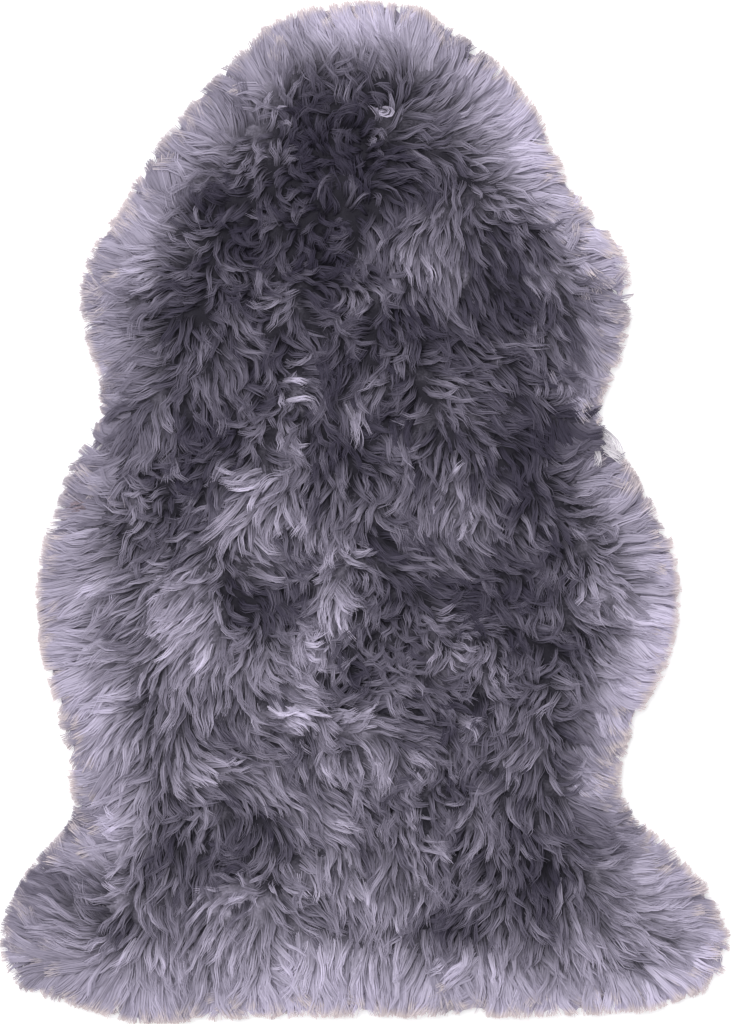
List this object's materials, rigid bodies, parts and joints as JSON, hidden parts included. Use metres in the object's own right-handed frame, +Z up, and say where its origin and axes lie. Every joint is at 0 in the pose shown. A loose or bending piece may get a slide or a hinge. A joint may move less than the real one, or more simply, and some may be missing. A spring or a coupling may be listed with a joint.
{
  "type": "sheepskin rug",
  "caption": "Whole long-wool sheepskin laid wool side up as a rug, with a narrow head end, waists and wide hind legs.",
  "frame": {"origin": "on the floor, under the middle of the rug's own box", "axes": "+Z up through the wool, +Y along the spine towards the head end, +X to the right of somebody who looks down with the head end away from them"},
  "size_m": [0.677, 0.95, 0.0519],
  "materials": {
    "wool": "long, silky, matted grey-dyed wool with a trace of violet, paler towards the tips",
    "hide": "suede flesh side, dyed with the wool"
  },
  "bodies": {
    "root": {"sheepskin": "wool"}
  },
  "joints": []
}
